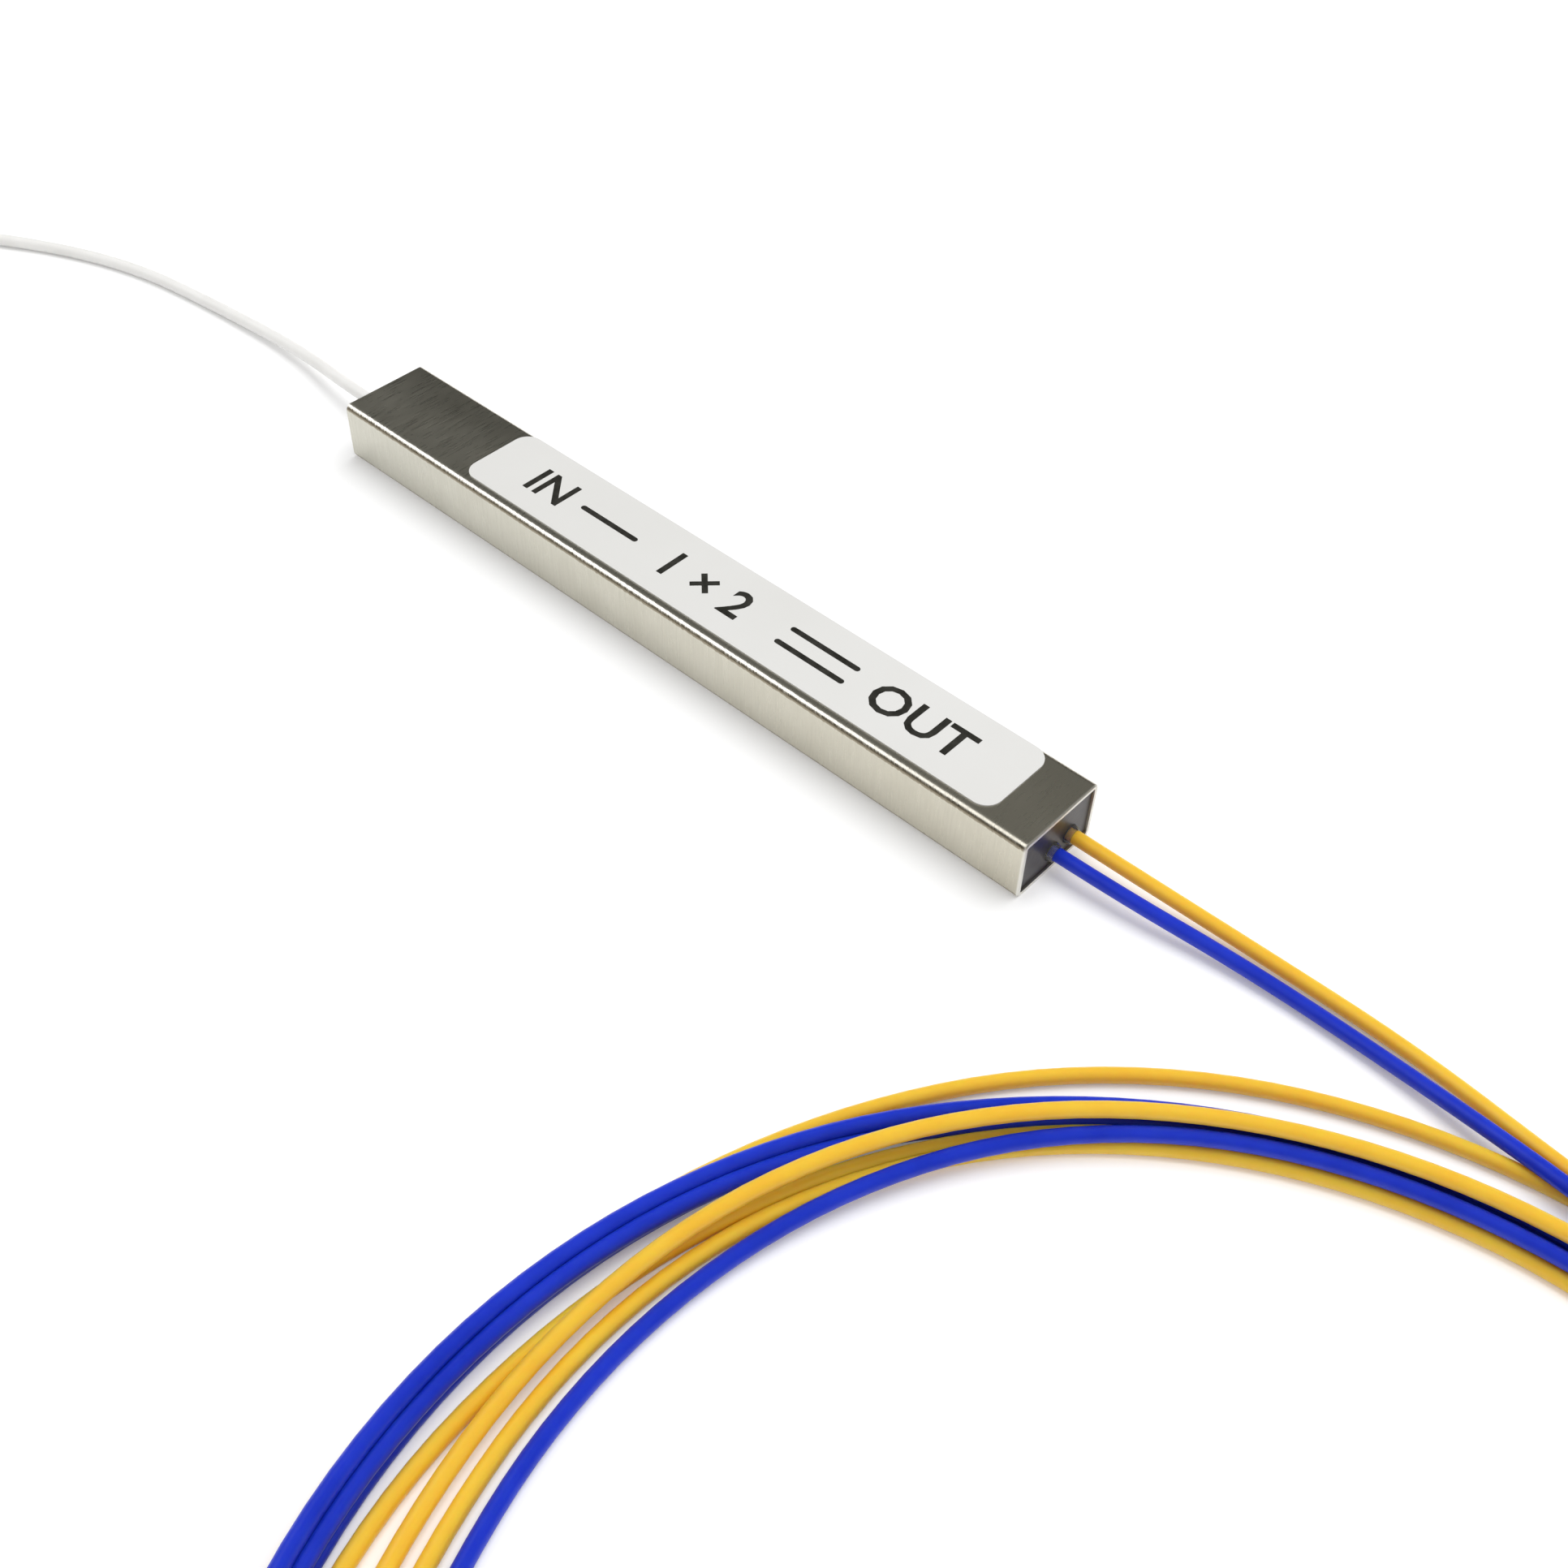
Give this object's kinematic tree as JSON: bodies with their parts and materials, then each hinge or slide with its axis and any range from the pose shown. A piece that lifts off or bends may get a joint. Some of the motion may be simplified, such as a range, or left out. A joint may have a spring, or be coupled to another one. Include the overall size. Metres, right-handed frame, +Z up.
{
  "type": "plc fibre splitter",
  "caption": "Slim rectangular stainless tube holding a planar waveguide splitter, with a white input lead at one end and blue and orange output leads at the other.",
  "frame": {"origin": "middle of the stainless tube's underside", "axes": "+X along the tube, from the input lead's end to the output leads' end; +Z up through the labelled face"},
  "size_m": [0.1964, 0.085, 0.0045],
  "materials": {
    "stainless": "satin, fine grain across the tube, burnished edges",
    "label_film": "matt coated film",
    "dark_resin": "glossy cast resin",
    "clear_adhesive": "clear, glossy",
    "silicone": "soft, translucent white",
    "silicon": "polished",
    "optical_glass": "polished",
    "fibre_coating": "smooth",
    "white_tube": "satin, slightly milky",
    "blue_tube": "satin",
    "orange_tube": "satin",
    "tie_film": "soft clear band"
  },
  "bodies": {
    "root": {"steel_tube": "stainless", "label": "label_film", "input_end_plug": "dark_resin", "output_end_plug": "dark_resin", "white_lead_bead": "clear_adhesive", "blue_lead_bead": "clear_adhesive", "orange_lead_bead": "clear_adhesive", "chip_bed": "silicone", "chip_substrate": "silicon", "chip_input_lid": "optical_glass", "chip_output_lid": "optical_glass", "input_joint": "clear_adhesive", "output_joint": "clear_adhesive", "input_array_base": "optical_glass", "input_array_lid": "optical_glass", "input_array_glue": "clear_adhesive", "output_array_base": "optical_glass", "output_array_lid": "optical_glass", "output_array_glue": "clear_adhesive", "input_fibre": "fibre_coating", "output_fibre_blue": "fibre_coating", "output_fibre_orange": "fibre_coating", "white_lead": "white_tube", "white_lead_coil": "white_tube", "white_coil_tie": "tie_film", "blue_lead": "blue_tube", "orange_lead": "orange_tube", "output_lead_coil": "blue_tube"}
  },
  "joints": []
}
